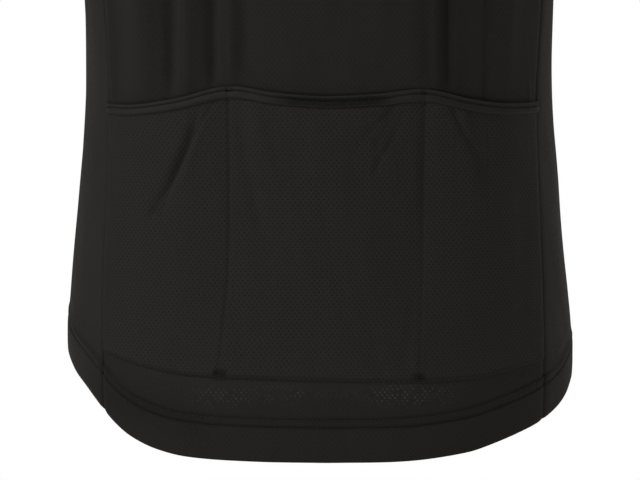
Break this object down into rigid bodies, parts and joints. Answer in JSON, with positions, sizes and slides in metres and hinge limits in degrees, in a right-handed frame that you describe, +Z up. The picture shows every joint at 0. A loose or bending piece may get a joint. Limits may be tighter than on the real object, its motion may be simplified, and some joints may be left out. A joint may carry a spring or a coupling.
{
  "type": "cycling jersey",
  "caption": "Short-sleeved cycling jersey, hollow and filled out with nobody in it: mesh body, smooth side panels, stand-up collar, full-length front zip, open pockets across the lower back",
  "frame": {"origin": "middle of the neck, level with the highest point of the shoulder seams", "axes": "+Z up, the zip faces -Y, the wearer's left side is +X; the model is longest along Z and shortest along Y"},
  "size_m": [0.672, 0.2468, 0.7292],
  "materials": {
    "mesh_knit": "matt charcoal mesh knit with rows of small holes",
    "smooth_knit": "smooth charcoal stretch knit with a faint sheen",
    "elastic_binding": "matt folded elastic",
    "zip_tape": "matt woven tape",
    "zip_metal": "black satin paint"
  },
  "bodies": {
    "garment": {"back_panel": "mesh_knit", "left_front": "mesh_knit", "right_front": "mesh_knit", "left_side_panel": "smooth_knit", "right_side_panel": "smooth_knit", "left_sleeve": "smooth_knit", "right_sleeve": "smooth_knit", "collar": "smooth_knit", "pocket_panel": "mesh_knit", "pocket_binding": "elastic_binding", "zip_tape_left": "zip_tape", "zip_tape_right": "zip_tape", "zip_slider": "zip_metal"},
    "pull_tab": {"zip_pull_tab": "zip_metal"}
  },
  "joints": [
    {"name": "pull_tab_hinge", "type": "hinge", "parent": "garment", "child": "pull_tab", "pos_m": [0, -0.0702, -0.02146], "axis": [-1, 0, 0], "range_deg": [0, 150]}
  ]
}
